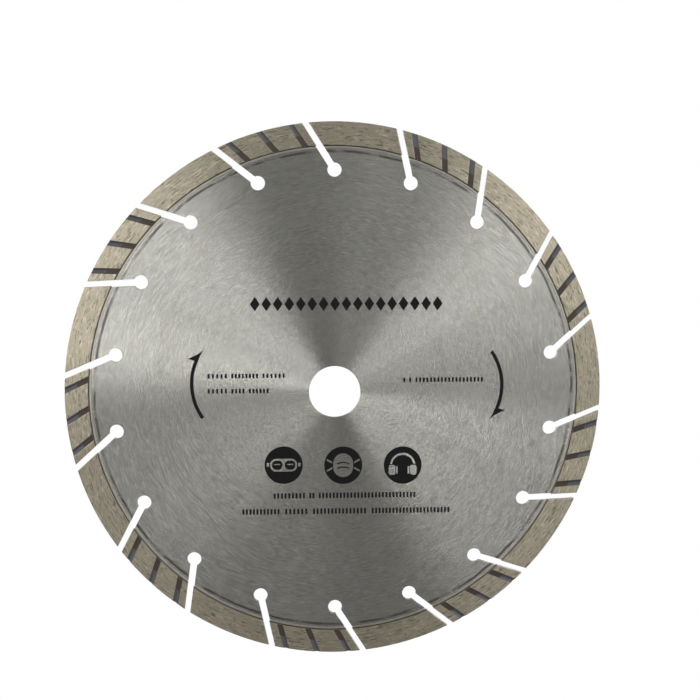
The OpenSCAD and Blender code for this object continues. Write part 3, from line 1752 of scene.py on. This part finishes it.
@dataclass(frozen=True)
class SoftBox:
    """A soft light that faces the bore, placed by its direction as the blade's face sees it.

    Attributes:
        name: The light's name.
        azimuth: The side that it stands to, in degrees counter-clockwise from +X.
        off_axis: The angle between its direction and the bore's axis, in degrees.
        power: Its power, in watts.
        width: Its size round the bore's axis, in metres.
        height: Its size away from the bore's axis, in metres.
        distance: Its distance from the bore, in metres.
    """

    name: str
    azimuth: float
    off_axis: float
    power: float
    width: float = 0.5
    height: float = 0.5
    distance: float = 1.4

    def place(self, side: Side) -> None:
        """Puts the light up in front of one face of the blade.

        Args:
            side: The face that it lights.
        """
        data = bpy.data.lights.new(f"{self.name}_{side.name.lower()}", "AREA")
        data.shape = "RECTANGLE"
        data.size, data.size_y = self.width, self.height
        data.energy = self.power
        azimuth, off_axis = math.radians(self.azimuth), math.radians(self.off_axis)
        outward = polar(math.sin(off_axis), azimuth)
        direction = outward + Vector((0.0, side.value * math.cos(off_axis), 0.0))
        across = polar(1.0, azimuth + math.pi / 2)
        lamp = bpy.data.objects.new(data.name, data)
        basis = Matrix((across, direction.cross(across), direction)).transposed().to_4x4()
        lamp.matrix_world = Matrix.Translation(direction * self.distance) @ basis
        lamp.visible_camera = False
        bpy.context.scene.collection.objects.link(lamp)


@dataclass(frozen=True)
class Studio:
    """A floor and a surround that look white, soft lights and the camera."""

    boxes: tuple[SoftBox, ...] = (
        SoftBox("soft_box_left", 160.0, 41.0, 6.25, 1.1, 1.0),
        SoftBox("soft_box_left_high", 142.0, 30.0, 0.95, 0.45, 0.5),
        SoftBox("soft_box_left_strip", 180.0, 34.0, 1.25, 0.3, 0.7),
        SoftBox("soft_box_right", 30.0, 63.5, 3.6, 1.04, 1.05),
        SoftBox("soft_box_right_near", 30.0, 52.0, 2.2, 0.5, 0.5),
        SoftBox("soft_box_right_high", 45.0, 30.0, 1.2, 1.07, 0.45),
        SoftBox("soft_box_right_strip", 0.0, 52.0, 0.42, 0.35, 0.6),
        SoftBox("soft_box_right_low", 350.0, 30.0, 1.1, 0.45, 0.45),
        SoftBox("soft_box_key", 45.0, 72.0, 0.8, 0.4, 0.4),
    )
    surround: float = 0.28
    floor_gap: float = 0.045
    floor_size: float = 14.0
    eye: tuple[float, float, float] = (-0.0303, -0.6383, 0.0904)
    target: tuple[float, float, float] = (0.0066, 0.0, 0.0179)
    lens: float = 77.1

    def set_up(self, lowest: float) -> None:
        """Sets everything up.

        Args:
            lowest: The Z of the blade's lowest point.
        """
        scene = bpy.context.scene
        scene.view_settings.view_transform = "Standard"
        self._surround_with_white()
        self._lay_floor(lowest - self.floor_gap)
        for box in self.boxes:
            for side in Side:
                box.place(side)
        scene.camera = self._place_camera()
        LOG.info("studio: %d soft lights, lens %.1f mm", 2 * len(self.boxes), self.lens)

    def _surround_with_white(self) -> None:
        """Makes the surround white to look at, and a soft grey as a light."""
        world = bpy.data.worlds.new("studio_surround")
        bpy.context.scene.world = world
        sheet = ShaderSheet(world)
        kind = "ShaderNodeBackground"
        light = sheet.node(kind, {}, {"Color": grey(1.0), "Strength": self.surround}).out(0)
        sheet.node("ShaderNodeOutputWorld", {}, {"Surface": sheet.white_when_seen(kind, light)})

    def _lay_floor(self, level: float) -> None:
        """Lays a wide floor.

        Args:
            level: The floor's Z.
        """
        mesh = bmesh.new()
        place = Matrix.Translation((0.0, 0.0, level))
        bmesh.ops.create_grid(mesh, x_segments=1, y_segments=1, size=self.floor_size / 2, matrix=place)
        data = bpy.data.meshes.new("studio_floor")
        mesh.to_mesh(data)
        mesh.free()
        data.materials.append(self._floor_paint())
        floor = bpy.data.objects.new("studio_floor", data)
        bpy.context.scene.collection.objects.link(floor)

    @staticmethod
    def _floor_paint() -> bpy.types.Material:
        """Builds the floor's grey paint, which looks plain white.

        Returns:
            The finished material.
        """
        material = bpy.data.materials.new("studio_floor_paint")
        sheet = ShaderSheet(material)
        inputs = {"Base Color": grey(0.12), "Roughness": 0.9}
        paint = sheet.node("ShaderNodeBsdfPrincipled", {}, inputs).out("BSDF")
        surface = sheet.white_when_seen("ShaderNodeEmission", paint)
        sheet.node("ShaderNodeOutputMaterial", {}, {"Surface": surface})
        return material

    def _place_camera(self) -> bpy.types.Object:
        """Puts the camera up, upright and aimed at its target.

        Returns:
            The camera's object.
        """
        data = bpy.data.cameras.new("main_camera")
        data.lens = self.lens
        data.sensor_width = 36.0
        data.clip_start = 0.01
        camera = bpy.data.objects.new("main_camera", data)
        aim = Vector(self.target) - Vector(self.eye)
        camera.location = self.eye
        camera.rotation_euler = aim.to_track_quat("-Z", "Y").to_euler()
        bpy.context.scene.collection.objects.link(camera)
        return camera


def main() -> None:
    """Builds the blade piece by piece and sets up the studio."""
    logging.basicConfig(level=logging.INFO, format="%(name)s: %(message)s")
    plan = BladePlan.from_frame(frame)
    body = next(iter(frame["bodies"]))
    CorePlate(plan).build(Dress(BrushedSteel(plan).build(), "core_steel", body))
    weld = Dress(WeldSteel(plan).build(), "weld_foot_steel", body)
    matrix = Dress(SinteredMatrix(plan).build(), "diamond_matrix", body)
    for number in range(1, plan.count + 1):
        WeldFoot(plan, number).build(weld)
        DiamondSegment(plan, number).build(matrix)
    ink = Dress(PrintInk().build(), "print_ink", body)
    for printed in PRINT:
        printed.print_on(plan, ink)
    Studio().set_up(CAD_BOX[0][2])


if __name__ == "__main__":
    main()
